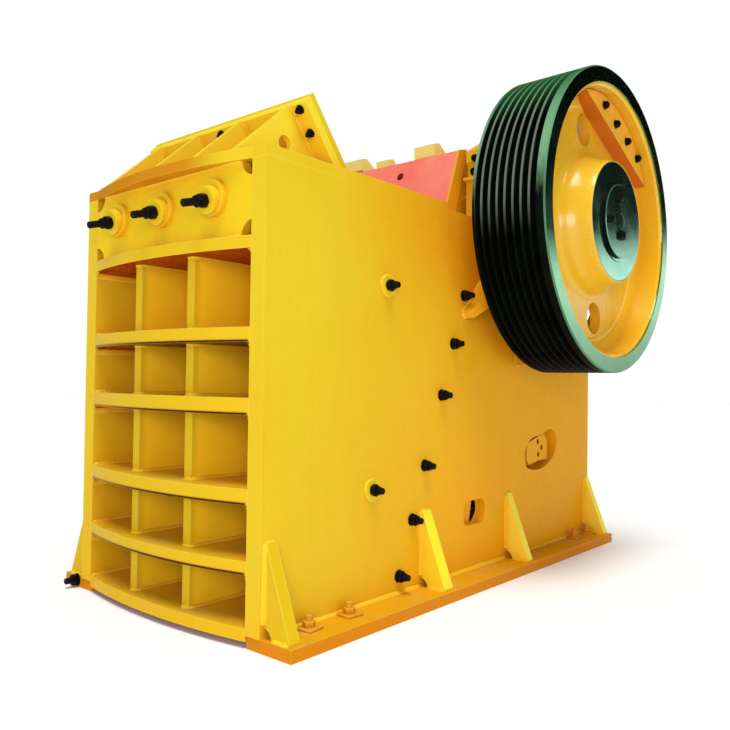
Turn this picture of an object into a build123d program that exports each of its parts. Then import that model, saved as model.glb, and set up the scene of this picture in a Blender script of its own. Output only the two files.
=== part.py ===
from build123d import *
import math
import os

os.makedirs("parts", exist_ok=True)

# ---------------------------------------------------------------------------
# Single-toggle jaw crusher, 900 x 1200 mm class. Millimetres.
# Row frame: +X from the ribbed front wall to the rear, the sheave on the -Y
# side, +Z up, Z = 0 on the floor.
# XF is the front edge of the side plates; longitudinal sizes are given as
# distances behind it.
# ---------------------------------------------------------------------------
XF = -1700.0          # front edge of the side plates
LENGTH = 3270.0       # side plates, front to rear
XR = XF + LENGTH
Y_OUT = 730.0         # outer face of the side plates
Y_IN = 640.0          # inner face of the side plates
T_BASE = 60.0         # foot flange
Y_FOOT = 918.0        # outer edge of the foot flanges
Z_TOP_F = 2137.0      # side plate top under the front top plate
Z_TOP = 2187.0        # side plate top behind it
Z_STEP = 2150.0       # side plate top under the bearing caps

# shaft line
XS = XF + 2177.0
ZS = 2127.0
ECC = 20.0            # eccentric throw
ECC_ANG = math.radians(235.0)   # where the throw points at rest, from +X towards +Z
XE = XS + ECC * math.cos(ECC_ANG)
ZE = ZS + ECC * math.sin(ECC_ANG)
R_JOURNAL = 140.0
R_ECC = 170.0
R_SEAT = 120.0        # wheel seats on the shaft
GAP = 5.0             # running gap round the shaft

# sheave and flywheel
R_WHEEL = 896.0
R_WHEEL_IN = 806.0
R_LIP = 786.0         # inside of the web's lip
Y_WHEEL_A = 951.0     # sheave face next to the machine
Y_FLY_A = 1050.0      # inner face of the plain flywheel
Y_WHEEL_B = 1381.0    # outer face of both
WEB_A = 1140.0        # web, inner and outer face
WEB_B = 1206.0
Y_LEDGE = 1236.0      # ledge inside the lip
R_HUB_END = 352.0
Y_HUB_END = 1391.0
R_DISC = 216.0        # raised disc on the hub cover
H_DISC = 24.0
R_WEB_HOLE = 98.0
WEB_HOLES = [(-62.0, 570.0), (102.0, -558.0), (570.0, 62.0), (-570.0, -62.0)]
N_GROOVE = 8
GROOVE_PITCH = 47.0
GROOVE_DEPTH = 36.0
CW_ANG = math.radians(67.6)     # counterweight: direction, chord distance, outer face
CW_CHORD = 600.0
CW_B = 1300.0

# front wall
SHELF_BULGE = 85.0
SHELF_BULGE_LOW = 60.0
SHELVES = [
    ("front_bottom_plate", 32.0, 89.0), ("front_shelf_1", 317.0, 377.0), ("front_shelf_2", 619.0, 690.0),
    ("front_shelf_3", 1011.0, 1086.0), ("front_shelf_4", 1331.0, 1398.0), ("front_shelf_top", 1744.0, 1800.0),
]
Y_PARTITIONS = {"near": -203.0, "far": 234.0}
T_PART = 55.0
D_CELL = 450.0        # depth of the cells
R_CORNER = 40.0       # rounded upper corners of the cells
PANEL_X = XF + 2.0
BOSS_Y = [-384.0, 14.0, 412.0]
BOSS_Z = 1994.0
R_BOSS = 84.0
H_BOSS = 26.0
R_SEATING = 64.0      # sloped seating disc under each nut
BOSS_SLOPE = math.radians(16.0)

# feet
FOOT_X = [-1450.0, -1180.0, 1240.0, 1450.0]
FOOT_Y = 780.0
R_FOOT = 29.0
GUSSETS = [(XF + 26.0, 62.0), (XF + 1152.0, 80.0), (XF + 2058.0, 58.0), (XF + 3203.0, 60.0)]

# chamber and jaw
CHAMBER_Y = 600.0     # half width between the cheek liners
JAW_Y = 590.0
R_HEAD = 440.0
T_LINER = 105.0
RIDGES = 10
RIDGE_DEPTH = 40.0
FIX_TOP = (XF + 664.0, 2150.0)
FIX_BOT = (XF + 741.0, 150.0)
MOV_TOP = (XF + 1567.0, 2160.0)
MOV_BOT = (XF + 923.0, 110.0)
KA = (XF + 1550.0, 2206.0)      # foot and top of the jaw guard plate
KB = (XF + 1685.0, 2586.0)
SEAT_X = XF + 1600.0            # jaw-side toggle seat
ROD_Y = [-250.0, 250.0]
ROD_Z = 290.0

SIDES = [("near", -1), ("far", 1)]

# ---------------------------------------------------------------------------
# side plates: one thick plate each side, with the shaft bore and two windows
# ---------------------------------------------------------------------------
SIDE_PROFILE = [
    (XF, T_BASE), (XR, T_BASE), (XR, 1500.0), (XF + 2850.0, 2020.0), (XF + 2800.0, Z_STEP),
    (XF + 1405.0, Z_STEP), (XF + 1375.0, Z_TOP), (XF + 500.0, Z_TOP), (XF + 500.0, Z_TOP_F), (XF, Z_TOP_F),
]
WIN_B = [
    (2305.0, 655.0), (2318.0, 748.0), (2391.0, 795.0), (2556.0, 822.0), (2610.0, 842.0), (2671.0, 847.0),
    (2740.0, 815.0), (2752.0, 739.0), (2716.0, 668.0), (2650.0, 622.0), (2387.0, 588.0), (2325.0, 612.0),
]
SLOT_FRONT = [(1741.0, 454.0), (1713.0, 322.0)]
SLOT_REAR = [(1731.0, 322.0), (1754.0, 348.0), (1774.0, 373.0), (1783.0, 398.0), (1775.0, 432.0), (1766.0, 454.0)]
SLOT_FLARE = 75.0
for side, s in SIDES:
    with BuildPart() as side_plate:
        with BuildSketch(Plane(origin=(0, s * Y_IN, 0), x_dir=(1, 0, 0), z_dir=(0, -1, 0))):
            with BuildLine():
                Polyline(*SIDE_PROFILE, close=True)
            make_face()
            with Locations((XS, ZS)):
                Circle(R_JOURNAL + GAP, mode=Mode.SUBTRACT)
            with BuildLine():
                Spline(*[(XF + p[0], p[1]) for p in WIN_B], periodic=True)
            make_face(mode=Mode.SUBTRACT)
        extrude(amount=-s * (Y_OUT - Y_IN))
        # front window: a pocket in the outer face with a slot in its floor that flares towards the inside
        with BuildSketch(Plane(origin=(0, s * Y_OUT, 0), x_dir=(1, 0, 0), z_dir=(0, -1, 0))):
            with Locations((XF + 1692.0, 392.0)):
                RectangleRounded(240, 148, 50)
        extrude(amount=s * 55, mode=Mode.SUBTRACT)
        for y, flare in ((Y_OUT - 50, 0.0), (Y_IN - 5, SLOT_FLARE)):
            with BuildSketch(Plane(origin=(0, s * y, 0), x_dir=(1, 0, 0), z_dir=(0, -1, 0))):
                with BuildLine():
                    Polyline(*[(XF + p[0], p[1]) for p in SLOT_FRONT], *[(XF + p[0] + flare, p[1]) for p in SLOT_REAR], close=True)
                make_face()
        loft(ruled=True, mode=Mode.SUBTRACT)
    side_plate.part.label = "side_plate_" + side
    export_step(side_plate.part, "parts/side_plate_" + side + ".step")

# ---------------------------------------------------------------------------
# foot flanges and their triangular gussets
# ---------------------------------------------------------------------------
for side, s in SIDES:
    with BuildPart() as base_flange:
        with BuildSketch(Plane.XY):
            with Locations((XF + 10 + LENGTH / 2, s * (Y_IN + Y_FOOT) / 2)):
                Rectangle(LENGTH, Y_FOOT - Y_IN)
            with Locations(*[(x, s * FOOT_Y) for x in FOOT_X]):
                Circle(R_FOOT, mode=Mode.SUBTRACT)
        extrude(amount=T_BASE)
    base_flange.part.label = "base_flange_" + side
    export_step(base_flange.part, "parts/base_flange_" + side + ".step")

    with BuildPart() as base_gussets:
        for gx, t in GUSSETS:
            with BuildSketch(Plane(origin=(gx, 0, 0), x_dir=(0, s, 0), z_dir=(s, 0, 0))):
                with BuildLine():
                    g1 = Polyline((Y_OUT, T_BASE + 48), (Y_OUT, 468), (Y_OUT + 8, 466), (Y_OUT + 160, T_BASE + 8), (Y_OUT + 160, T_BASE), (Y_OUT + 48, T_BASE))
                    g2 = ThreePointArc((Y_OUT + 48, T_BASE), (Y_OUT + 34, T_BASE + 34), (Y_OUT, T_BASE + 48))
                make_face()
            extrude(amount=s * t)
    base_gussets.part.label = "base_gussets_" + side
    export_step(base_gussets.part, "parts/base_gussets_" + side + ".step")

# ---------------------------------------------------------------------------
# front wall: inclined wall plate, bowed shelves, partitions, panel with bosses
# ---------------------------------------------------------------------------
with BuildPart() as front_wall_plate:
    with BuildSketch(Plane(origin=(0, Y_IN, 0), x_dir=(1, 0, 0), z_dir=(0, -1, 0))):
        with BuildLine():
            Polyline((XF + D_CELL, T_BASE), (XF + 632, T_BASE), (XF + 552, Z_TOP_F), (XF + D_CELL, Z_TOP_F), close=True)
        make_face()
    extrude(amount=2 * Y_IN)
front_wall_plate.part.label = "front_wall_plate"
export_step(front_wall_plate.part, "parts/front_wall_plate.step")

with BuildPart() as front_top_plate:
    with BuildSketch(Plane.XY.offset(Z_TOP_F)):
        with BuildLine():
            t1 = ThreePointArc((XF, -Y_IN), (XF - SHELF_BULGE, 0), (XF, Y_IN))
            t2 = Polyline((XF, Y_IN), (XF, Y_OUT), (XF + 500, Y_OUT), (XF + 500, -Y_OUT), (XF, -Y_OUT), (XF, -Y_IN))
        make_face()
    extrude(amount=Z_TOP - Z_TOP_F)
front_top_plate.part.label = "front_top_plate"
export_step(front_top_plate.part, "parts/front_top_plate.step")

with BuildPart() as front_panel:
    with BuildSketch(Plane(origin=(PANEL_X, 0, 0), x_dir=(0, 1, 0), z_dir=(1, 0, 0))):
        with Locations((0, (SHELVES[5][2] + Z_TOP_F) / 2)):
            Rectangle(2 * Y_IN, Z_TOP_F - SHELVES[5][2])
        with Locations((-Y_IN, SHELVES[5][2]), (Y_IN, SHELVES[5][2]), (-Y_IN, Z_TOP_F), (Y_IN, Z_TOP_F)):
            Circle(70, mode=Mode.SUBTRACT)
    extrude(amount=50)
front_panel.part.label = "front_panel"
export_step(front_panel.part, "parts/front_panel.step")

with BuildPart() as panel_bosses:
    for y in BOSS_Y:
        with BuildSketch(Plane(origin=(PANEL_X, y, BOSS_Z), x_dir=(0, -1, 0), z_dir=(-1, 0, 0))):
            Circle(R_BOSS)
        extrude(amount=H_BOSS)
        with BuildSketch(Plane(origin=(PANEL_X - 22 * math.cos(BOSS_SLOPE), y, BOSS_Z - 22 * math.sin(BOSS_SLOPE)), x_dir=(0, -1, 0),
                               z_dir=(-math.cos(BOSS_SLOPE), 0, -math.sin(BOSS_SLOPE)))):
            Circle(R_SEATING)
        extrude(amount=40)
panel_bosses.part.label = "panel_bosses"
export_step(panel_bosses.part, "parts/panel_bosses.step")

for node, z0, z1 in SHELVES:
    bulge = SHELF_BULGE_LOW if z0 < 100 else SHELF_BULGE
    with BuildPart() as shelf:
        with BuildSketch(Plane.XY.offset(z0)):
            with BuildLine():
                s1 = ThreePointArc((XF, -Y_IN), (XF - bulge, 0), (XF, Y_IN))
                s2 = Polyline((XF, Y_IN), (XF + D_CELL, Y_IN), (XF + D_CELL, -Y_IN), (XF, -Y_IN))
            make_face()
        extrude(amount=z1 - z0)
        if z0 > 100:
            # rounded upper corners of the cells, beside the side plates
            with BuildSketch(Plane(origin=(XF + 3, 0, 0), x_dir=(0, 1, 0), z_dir=(1, 0, 0))):
                for e in (-1, 1):
                    with BuildLine():
                        c1 = Polyline((e * (Y_IN - R_CORNER), z0), (e * Y_IN, z0), (e * Y_IN, z0 - R_CORNER))
                        c2 = ThreePointArc((e * Y_IN, z0 - R_CORNER), (e * (Y_IN - 0.29 * R_CORNER), z0 - 0.29 * R_CORNER), (e * (Y_IN - R_CORNER), z0))
                    make_face()
            extrude(amount=55)
    shelf.part.label = node
    export_step(shelf.part, "parts/" + node + ".step")

for side, y_mid in Y_PARTITIONS.items():
    with BuildPart() as partitions:
        for i in range(5):
            z0, z1 = SHELVES[i][2], SHELVES[i + 1][1]
            with Locations((XF + 8 + (D_CELL - 8) / 2, y_mid, (z0 + z1) / 2)):
                Box(D_CELL - 8, T_PART, z1 - z0)
    partitions.part.label = "partitions_" + side
    export_step(partitions.part, "parts/partitions_" + side + ".step")

# ---------------------------------------------------------------------------
# feed guard on the front top plate, leaning to the front over the opening
# ---------------------------------------------------------------------------
G_LOW_TOP, G_LOW_FOOT = (XF + 321.0, 2480.0), (XF + 545.0, Z_TOP)
G_MID_TOP, G_MID_FOOT = (XF + 351.0, 2513.6), (XF + 600.0, Z_TOP)
G_TOP_TOP, G_TOP_FOOT = (XF + 371.0, 2536.0), (XF + 650.0, Z_TOP)

with BuildPart() as feed_guard_plate:
    with BuildSketch(Plane(origin=(0, Y_IN, 0), x_dir=(1, 0, 0), z_dir=(0, -1, 0))):
        with BuildLine():
            Polyline(G_LOW_TOP, G_MID_TOP, G_MID_FOOT, G_LOW_FOOT, close=True)
        make_face()
    extrude(amount=2 * Y_IN)
feed_guard_plate.part.label = "feed_guard_plate"
export_step(feed_guard_plate.part, "parts/feed_guard_plate.step")

with BuildPart() as feed_guard_liner:
    with BuildSketch(Plane(origin=(0, Y_IN, 0), x_dir=(1, 0, 0), z_dir=(0, -1, 0))):
        with BuildLine():
            Polyline(G_MID_TOP, G_TOP_TOP, G_TOP_FOOT, G_MID_FOOT, close=True)
        make_face()
    extrude(amount=2 * Y_IN)
feed_guard_liner.part.label = "feed_guard_liner"
export_step(feed_guard_liner.part, "parts/feed_guard_liner.step")

with BuildPart() as feed_guard_gussets:
    for gy in (-525.0, -175.0, 175.0, 525.0):
        with BuildSketch(Plane(origin=(0, gy + 15, 0), x_dir=(1, 0, 0), z_dir=(0, -1, 0))):
            with BuildLine():
                Polyline((XF - 21, Z_TOP), (XF + 306, 2478.0), (XF + 321, 2480.0), (XF + 545, Z_TOP), close=True)
            make_face()
            with Locations((XF + 285, 2290)):
                Circle(40, mode=Mode.SUBTRACT)
        extrude(amount=30)
feed_guard_gussets.part.label = "feed_guard_gussets"
export_step(feed_guard_gussets.part, "parts/feed_guard_gussets.step")

# ---------------------------------------------------------------------------
# crushing chamber: cheek liners and the fixed jaw liner
# ---------------------------------------------------------------------------
for side, s in SIDES:
    with BuildPart() as cheek_liner:
        with BuildSketch(Plane(origin=(0, s * CHAMBER_Y, 0), x_dir=(1, 0, 0), z_dir=(0, -1, 0))):
            with BuildLine():
                Polyline((XF + 652, 2150), (XF + 1560, 2150), (XF + 1560, 1900), (XF + 1060, 300), (XF + 640, 300), (XF + 560, 2150), close=True)
            make_face()
        extrude(amount=-s * (Y_IN - CHAMBER_Y))
    cheek_liner.part.label = "cheek_liner_" + side
    export_step(cheek_liner.part, "parts/cheek_liner_" + side + ".step")

fix_len = math.hypot(FIX_BOT[0] - FIX_TOP[0], FIX_BOT[1] - FIX_TOP[1])
fix_pitch = 2 * 595.0 / RIDGES
fix_pts = [(-595.0, -T_LINER), (-595.0, -RIDGE_DEPTH)]
for i in range(RIDGES):
    a = -595.0 + i * fix_pitch
    fix_pts += [(a + 0.14 * fix_pitch, -RIDGE_DEPTH), (a + 0.36 * fix_pitch, 0), (a + 0.64 * fix_pitch, 0), (a + 0.86 * fix_pitch, -RIDGE_DEPTH)]
fix_pts += [(595.0, -RIDGE_DEPTH), (595.0, -T_LINER)]
with BuildPart() as fixed_jaw_liner:
    with BuildSketch(Plane(origin=(FIX_TOP[0], 0, FIX_TOP[1]), x_dir=(0, 1, 0), z_dir=(FIX_BOT[0] - FIX_TOP[0], 0, FIX_BOT[1] - FIX_TOP[1]))):
        with BuildLine():
            Polyline(*fix_pts, close=True)
        make_face()
    extrude(amount=fix_len)
fixed_jaw_liner.part.label = "fixed_jaw_liner"
export_step(fixed_jaw_liner.part, "parts/fixed_jaw_liner.step")

# ---------------------------------------------------------------------------
# moving jaw: barrel round the eccentric, body, liner, guard and its blocks
# ---------------------------------------------------------------------------
mov_len = math.hypot(MOV_BOT[0] - MOV_TOP[0], MOV_BOT[1] - MOV_TOP[1])
jdx, jdz = (MOV_BOT[0] - MOV_TOP[0]) / mov_len, (MOV_BOT[1] - MOV_TOP[1]) / mov_len
b_top = (MOV_TOP[0] - jdz * T_LINER, MOV_TOP[1] + jdx * T_LINER)   # top of the jaw body's front face
f_high = (b_top[0] + jdx * (2290 - b_top[1]) / jdz, 2290.0)
f_low = (b_top[0] + jdx * (130 - b_top[1]) / jdz, 130.0)

with BuildPart() as moving_jaw_body:
    with BuildSketch(Plane(origin=(0, JAW_Y, 0), x_dir=(1, 0, 0), z_dir=(0, -1, 0))):
        with BuildLine():
            Polyline(f_high, f_low, (f_low[0] + 180, 130), (XF + 1400, 430), (SEAT_X - 20, 500), (SEAT_X - 60, 700), (XF + 1720, 1120),
                     (XE + 210, ZE - 330), (XE, ZE), (XE - 150, ZE + 380), (f_high[0] + 120, 2330), close=True)
        make_face()
        with Locations((XE, ZE)):
            Circle(R_HEAD)
            Circle(R_ECC + GAP, mode=Mode.SUBTRACT)
    extrude(amount=2 * JAW_Y)
moving_jaw_body.part.label = "moving_jaw_body"
export_step(moving_jaw_body.part, "parts/moving_jaw_body.step")

mov_pitch = 2 * JAW_Y / RIDGES
mov_pts = [(-JAW_Y, T_LINER), (-JAW_Y, RIDGE_DEPTH)]
for i in range(RIDGES):
    a = -JAW_Y + i * mov_pitch
    mov_pts += [(a + 0.14 * mov_pitch, RIDGE_DEPTH), (a + 0.36 * mov_pitch, 0), (a + 0.64 * mov_pitch, 0), (a + 0.86 * mov_pitch, RIDGE_DEPTH)]
mov_pts += [(JAW_Y, RIDGE_DEPTH), (JAW_Y, T_LINER)]
with BuildPart() as moving_jaw_liner:
    with BuildSketch(Plane(origin=(MOV_TOP[0], 0, MOV_TOP[1]), x_dir=(0, 1, 0), z_dir=(jdx, 0, jdz))):
        with BuildLine():
            Polyline(*mov_pts, close=True)
        make_face()
    extrude(amount=mov_len)
moving_jaw_liner.part.label = "moving_jaw_liner"
export_step(moving_jaw_liner.part, "parts/moving_jaw_liner.step")

kl = math.hypot(KB[0] - KA[0], KB[1] - KA[1])
kdx, kdz = (KB[0] - KA[0]) / kl, (KB[1] - KA[1]) / kl       # up along the guard plate; (kdz, -kdx) points to the rear
T_GUARD = 30.0
Y_STRIP = 586.0       # inner face of the side strips, which reach out to 600
with BuildPart() as jaw_guard_plate:
    with BuildSketch(Plane(origin=(0, Y_STRIP, 0), x_dir=(1, 0, 0), z_dir=(0, -1, 0))):
        with BuildLine():
            Polyline(KA, KB, (KB[0] + kdz * T_GUARD, KB[1] - kdx * T_GUARD), (KA[0] + kdz * T_GUARD, KA[1] - kdx * T_GUARD), close=True)
        make_face()
    extrude(amount=2 * Y_STRIP)
jaw_guard_plate.part.label = "jaw_guard_plate"
export_step(jaw_guard_plate.part, "parts/jaw_guard_plate.step")

ka2 = (KA[0] + kdz * T_GUARD, KA[1] - kdx * T_GUARD)
with BuildPart() as jaw_guard_frame:
    # side strips beside the plate, brackets behind them down to the jaw head, and a cross rib
    for y1 in (600.0, -Y_STRIP):
        with BuildSketch(Plane(origin=(0, y1, 0), x_dir=(1, 0, 0), z_dir=(0, -1, 0))):
            with BuildLine():
                Polyline(KA, (KB[0] + kdx * 4, KB[1] + kdz * 4), (XF + 1770, 2610), (XF + 1655, 2192), (XF + 1600, 2192), close=True)
            make_face()
        extrude(amount=600 - Y_STRIP)
    for y1 in (Y_STRIP, -545.0):
        with BuildSketch(Plane(origin=(0, y1, 0), x_dir=(1, 0, 0), z_dir=(0, -1, 0))):
            with BuildLine():
                Polyline((ka2[0] + kdx * 60, ka2[1] + kdz * 60), (ka2[0] + kdx * 380, ka2[1] + kdz * 380), (XF + 1762, 2604), (XF + 1800, 2584), (XF + 1900, 2520),
                         (XF + 1960, 2440), (XF + 1900, 2300), close=True)
            make_face()
        extrude(amount=Y_STRIP - 545.0)
    with BuildSketch(Plane(origin=(0, 540, 0), x_dir=(1, 0, 0), z_dir=(0, -1, 0))):
        with BuildLine():
            Polyline(ka2, (ka2[0] + kdx * 70, ka2[1] + kdz * 70), (KA[0] + kdx * 110 + kdz * 150, KA[1] + kdz * 110 - kdx * 150),
                     (KA[0] + kdz * 150, KA[1] - kdx * 150), close=True)
        make_face()
    extrude(amount=1080)
    add(moving_jaw_body.part, mode=Mode.SUBTRACT)
jaw_guard_frame.part.label = "jaw_guard_frame"
export_step(jaw_guard_frame.part, "parts/jaw_guard_frame.step")

with BuildPart() as jaw_guard_blocks:
    for yb, half, drop, short in ((-295.0, 80.0, -3.0, 0.0), (52.0, 52.0, 32.0, 40.0), (318.0, 80.0, -15.0, 0.0)):
        with BuildSketch(Plane(origin=(0, yb + half, 0), x_dir=(1, 0, 0), z_dir=(0, -1, 0))):
            with BuildLine():
                Polyline((XF + 1741, 2606 - drop), (XF + 1733, 2680 - drop), (XF + 1790, 2695 - drop), (XF + 1960 - short, 2590 - drop), (XF + 1930 - short, 2560 - drop), close=True)
            make_face()
        extrude(amount=2 * half)
        # stem down to the barrel
        with BuildSketch(Plane(origin=(0, yb + 40, 0), x_dir=(1, 0, 0), z_dir=(0, -1, 0))):
            with BuildLine():
                Polyline((XF + 1850 - short, 2590 - drop), (XF + 1935 - short, 2573 - drop), (XF + 1990, 2440), (XF + 1870, 2360), close=True)
            make_face()
        extrude(amount=80)
    add(moving_jaw_body.part, mode=Mode.SUBTRACT)
jaw_guard_blocks.part.label = "jaw_guard_blocks"
export_step(jaw_guard_blocks.part, "parts/jaw_guard_blocks.step")

with BuildPart() as jaw_toe_lugs:
    for y in ROD_Y:
        with BuildSketch(Plane(origin=(0, y + 90, 0), x_dir=(1, 0, 0), z_dir=(0, -1, 0))):
            with BuildLine():
                Polyline((XF + 1400, 430), (SEAT_X - 20, 500), (SEAT_X - 20, 180), (SEAT_X - 90, 180), close=True)
            make_face()
        extrude(amount=180)
    with BuildSketch(Plane(origin=(XF + 1300, 0, 0), x_dir=(0, 1, 0), z_dir=(1, 0, 0))):
        with Locations(*[(y, ROD_Z) for y in ROD_Y]):
            Circle(60)
    extrude(amount=400, mode=Mode.SUBTRACT)
jaw_toe_lugs.part.label = "jaw_toe_lugs"
export_step(jaw_toe_lugs.part, "parts/jaw_toe_lugs.step")

# ---------------------------------------------------------------------------
# bearing housings: cap above the side plate, block and ribs on its outer face
# ---------------------------------------------------------------------------
CAP = [
    (1704.0, Z_STEP), (1704.0, 2376.0), (1670.0, 2388.0), (1670.0, 2404.0), (1722.0, 2414.0), (1722.0, 2480.0), (1702.0, 2506.0), (1700.0, 2573.0),
    (1807.0, 2637.0), (1880.0, 2675.0), (2474.0, 2675.0), (2620.0, 2590.0), (2664.0, 2391.0), (2651.0, Z_STEP),
]
Y_BLOCK = 900.0
RIBS = [(1548.0, 1556.0, 44.6), (2177.0, 1277.0, 90.0), (2806.0, 1556.0, 135.4)]   # foot and direction
RIB_PROFILE = [(0.0, 0.0), (0.0, 66.0), (146.0, 164.0), (398.0, 164.0), (398.0, 0.0)]   # along the rib, off the side plate
T_RIB = 46.0
for side, s in SIDES:
    with BuildPart() as bearing_cap:
        with BuildSketch(Plane(origin=(0, s * Y_IN, 0), x_dir=(1, 0, 0), z_dir=(0, -1, 0))):
            with BuildLine():
                Polyline(*[(XF + p[0], p[1]) for p in CAP], close=True)
            make_face()
            with Locations((XS, ZS)):
                Circle(R_JOURNAL + GAP, mode=Mode.SUBTRACT)
        extrude(amount=-s * (Y_BLOCK - Y_IN))
    bearing_cap.part.label = "bearing_cap_" + side
    export_step(bearing_cap.part, "parts/bearing_cap_" + side + ".step")

    with BuildPart() as bearing_block:
        with BuildSketch(Plane(origin=(0, s * Y_OUT, 0), x_dir=(1, 0, 0), z_dir=(0, -1, 0))):
            with Locations((XS, ZS)):
                Circle(440)
                Circle(R_JOURNAL + GAP, mode=Mode.SUBTRACT)
            with Locations((XS, Z_STEP + 300)):
                Rectangle(1000, 600, mode=Mode.SUBTRACT)
        extrude(amount=-s * (Y_BLOCK - Y_OUT))
    bearing_block.part.label = "bearing_block_" + side
    export_step(bearing_block.part, "parts/bearing_block_" + side + ".step")

    with BuildPart() as bearing_ribs:
        for ex, ez, deg in RIBS:
            a = math.radians(deg)
            with BuildSketch(Plane(origin=(XF + ex, s * Y_OUT, ez), x_dir=(math.cos(a), 0, math.sin(a)), z_dir=(-s * math.sin(a), 0, s * math.cos(a)))):
                with BuildLine():
                    Polyline(*RIB_PROFILE, close=True)
                make_face()
            extrude(amount=T_RIB / 2, both=True)
    bearing_ribs.part.label = "bearing_ribs_" + side
    export_step(bearing_ribs.part, "parts/bearing_ribs_" + side + ".step")

# ---------------------------------------------------------------------------
# rear wall, toggle beam, toggle plate, tension rods and springs
# ---------------------------------------------------------------------------
with BuildPart() as rear_wall_plate:
    with BuildSketch(Plane(origin=(XF + 2860, 0, 0), x_dir=(0, 1, 0), z_dir=(1, 0, 0))):
        with Locations((0, (T_BASE + 1700) / 2)):
            Rectangle(2 * Y_IN, 1700 - T_BASE)
        with Locations(*[(y, ROD_Z) for y in ROD_Y]):
            Circle(45, mode=Mode.SUBTRACT)
    extrude(amount=90)
rear_wall_plate.part.label = "rear_wall_plate"
export_step(rear_wall_plate.part, "parts/rear_wall_plate.step")

with BuildPart() as rear_ribs:
    for z0 in (500.0, 960.0, 1400.0):
        with Locations((XF + 2950 + 140, 0, z0 + 30)):
            Box(280, 2 * Y_IN, 60)
rear_ribs.part.label = "rear_ribs"
export_step(rear_ribs.part, "parts/rear_ribs.step")

END_BLOCK = [(2372, 660), (2385, 762), (2471, 782), (2560, 804), (2625, 812), (2663, 757), (2666, 640), (2529, 634), (2404, 615)]
END_HOLES = [(2534.0, 765.0), (2588.0, 722.0), (2541.0, 678.0)]
with BuildPart() as toggle_beam:
    with BuildSketch(Plane(origin=(0, Y_IN, 0), x_dir=(1, 0, 0), z_dir=(0, -1, 0))):
        with BuildLine():
            Polyline((XF + 2350, 640), (XF + 2370, 860), (XF + 2700, 900), (XF + 2860, 900), (XF + 2860, 560), (XF + 2640, 560), close=True)
        make_face()
    extrude(amount=2 * Y_IN)
    # ends of the beam in the rear windows of the side plates
    for s in (-1, 1):
        with BuildSketch(Plane(origin=(0, s * Y_IN, 0), x_dir=(1, 0, 0), z_dir=(0, -1, 0))):
            with BuildLine():
                Polyline(*[(XF + p[0], p[1]) for p in END_BLOCK], close=True)
            make_face()
            with Locations(*[(XF + p[0], p[1]) for p in END_HOLES]):
                Circle(19, mode=Mode.SUBTRACT)
        extrude(amount=-s * 62)
toggle_beam.part.label = "toggle_beam"
export_step(toggle_beam.part, "parts/toggle_beam.step")

with BuildPart() as toggle_plate:
    with BuildSketch(Plane(origin=(0, 520, 0), x_dir=(1, 0, 0), z_dir=(0, -1, 0))):
        with BuildLine():
            Polyline((SEAT_X + 45, 575), (SEAT_X + 35, 645), (XF + 2350, 790), (XF + 2350, 710), close=True)
        make_face()
    extrude(amount=1040)
toggle_plate.part.label = "toggle_plate"
export_step(toggle_plate.part, "parts/toggle_plate.step")

with BuildPart() as tension_rods:
    with BuildSketch(Plane(origin=(XF + 1620, 0, 0), x_dir=(0, 1, 0), z_dir=(1, 0, 0))):
        with Locations(*[(y, ROD_Z) for y in ROD_Y]):
            Circle(28)
    extrude(amount=1990)
tension_rods.part.label = "tension_rods"
export_step(tension_rods.part, "parts/tension_rods.step")

with BuildPart() as tension_springs:
    with BuildSketch(Plane(origin=(XF + 2950, 0, 0), x_dir=(0, 1, 0), z_dir=(1, 0, 0))):
        for y in ROD_Y:
            with Locations((y, ROD_Z)):
                Circle(85)
                Circle(60, mode=Mode.SUBTRACT)
    extrude(amount=560)
    with BuildSketch(Plane(origin=(XF + 3510, 0, 0), x_dir=(0, 1, 0), z_dir=(1, 0, 0))):
        for y in ROD_Y:
            with Locations((y, ROD_Z)):
                Circle(95)
                Circle(28.5, mode=Mode.SUBTRACT)
    extrude(amount=40)
tension_springs.part.label = "tension_springs"
export_step(tension_springs.part, "parts/tension_springs.step")

# ---------------------------------------------------------------------------
# eccentric shaft
# ---------------------------------------------------------------------------
with BuildPart() as eccentric_shaft:
    with BuildSketch(Plane(origin=(XS, 1350, ZS), x_dir=(1, 0, 0), z_dir=(0, -1, 0))):
        Circle(R_SEAT)
    extrude(amount=2700)
    with BuildSketch(Plane(origin=(XS, 930, ZS), x_dir=(1, 0, 0), z_dir=(0, -1, 0))):
        Circle(R_JOURNAL)
    extrude(amount=1860)
    with BuildSketch(Plane(origin=(XE, 620, ZE), x_dir=(1, 0, 0), z_dir=(0, -1, 0))):
        Circle(R_ECC)
    extrude(amount=1240)
eccentric_shaft.part.label = "eccentric_shaft"
export_step(eccentric_shaft.part, "parts/eccentric_shaft.step")

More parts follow.
